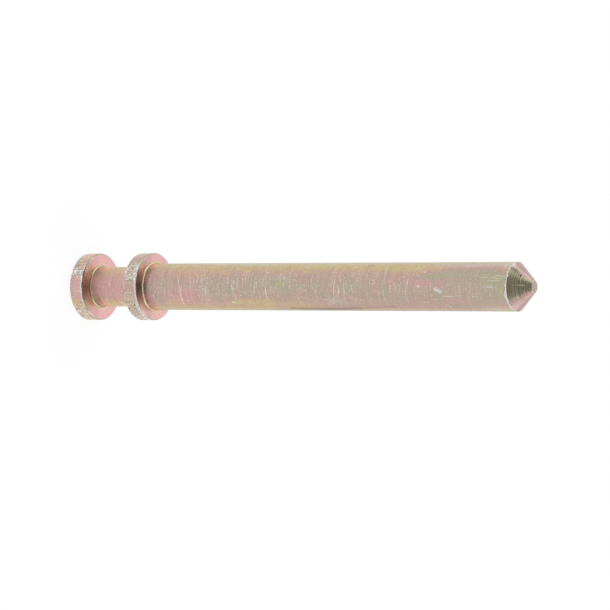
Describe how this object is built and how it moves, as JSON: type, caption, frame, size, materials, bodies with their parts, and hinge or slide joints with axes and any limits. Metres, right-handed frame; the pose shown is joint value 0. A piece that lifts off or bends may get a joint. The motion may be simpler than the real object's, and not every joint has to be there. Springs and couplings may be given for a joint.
{
  "type": "pulley pin",
  "caption": "Turned steel pin with a plain shank for a pulley, a round head, a stop collar, a necked groove between them for a locking plate, and a cone-pointed free end.",
  "frame": {"origin": "centre of the head's flat end face, on which the pin stands", "axes": "+Z along the pin's axis, from the head to the cone point; the pin is round, so +X and +Y are any two radii"},
  "size_m": [0.0116, 0.0116, 0.0884],
  "materials": {
    "passivated_steel": "yellow zinc passivate over turned steel, satin, with thin worn silver edges"
  },
  "bodies": {
    "root": {"pin": "passivated_steel"}
  },
  "joints": []
}
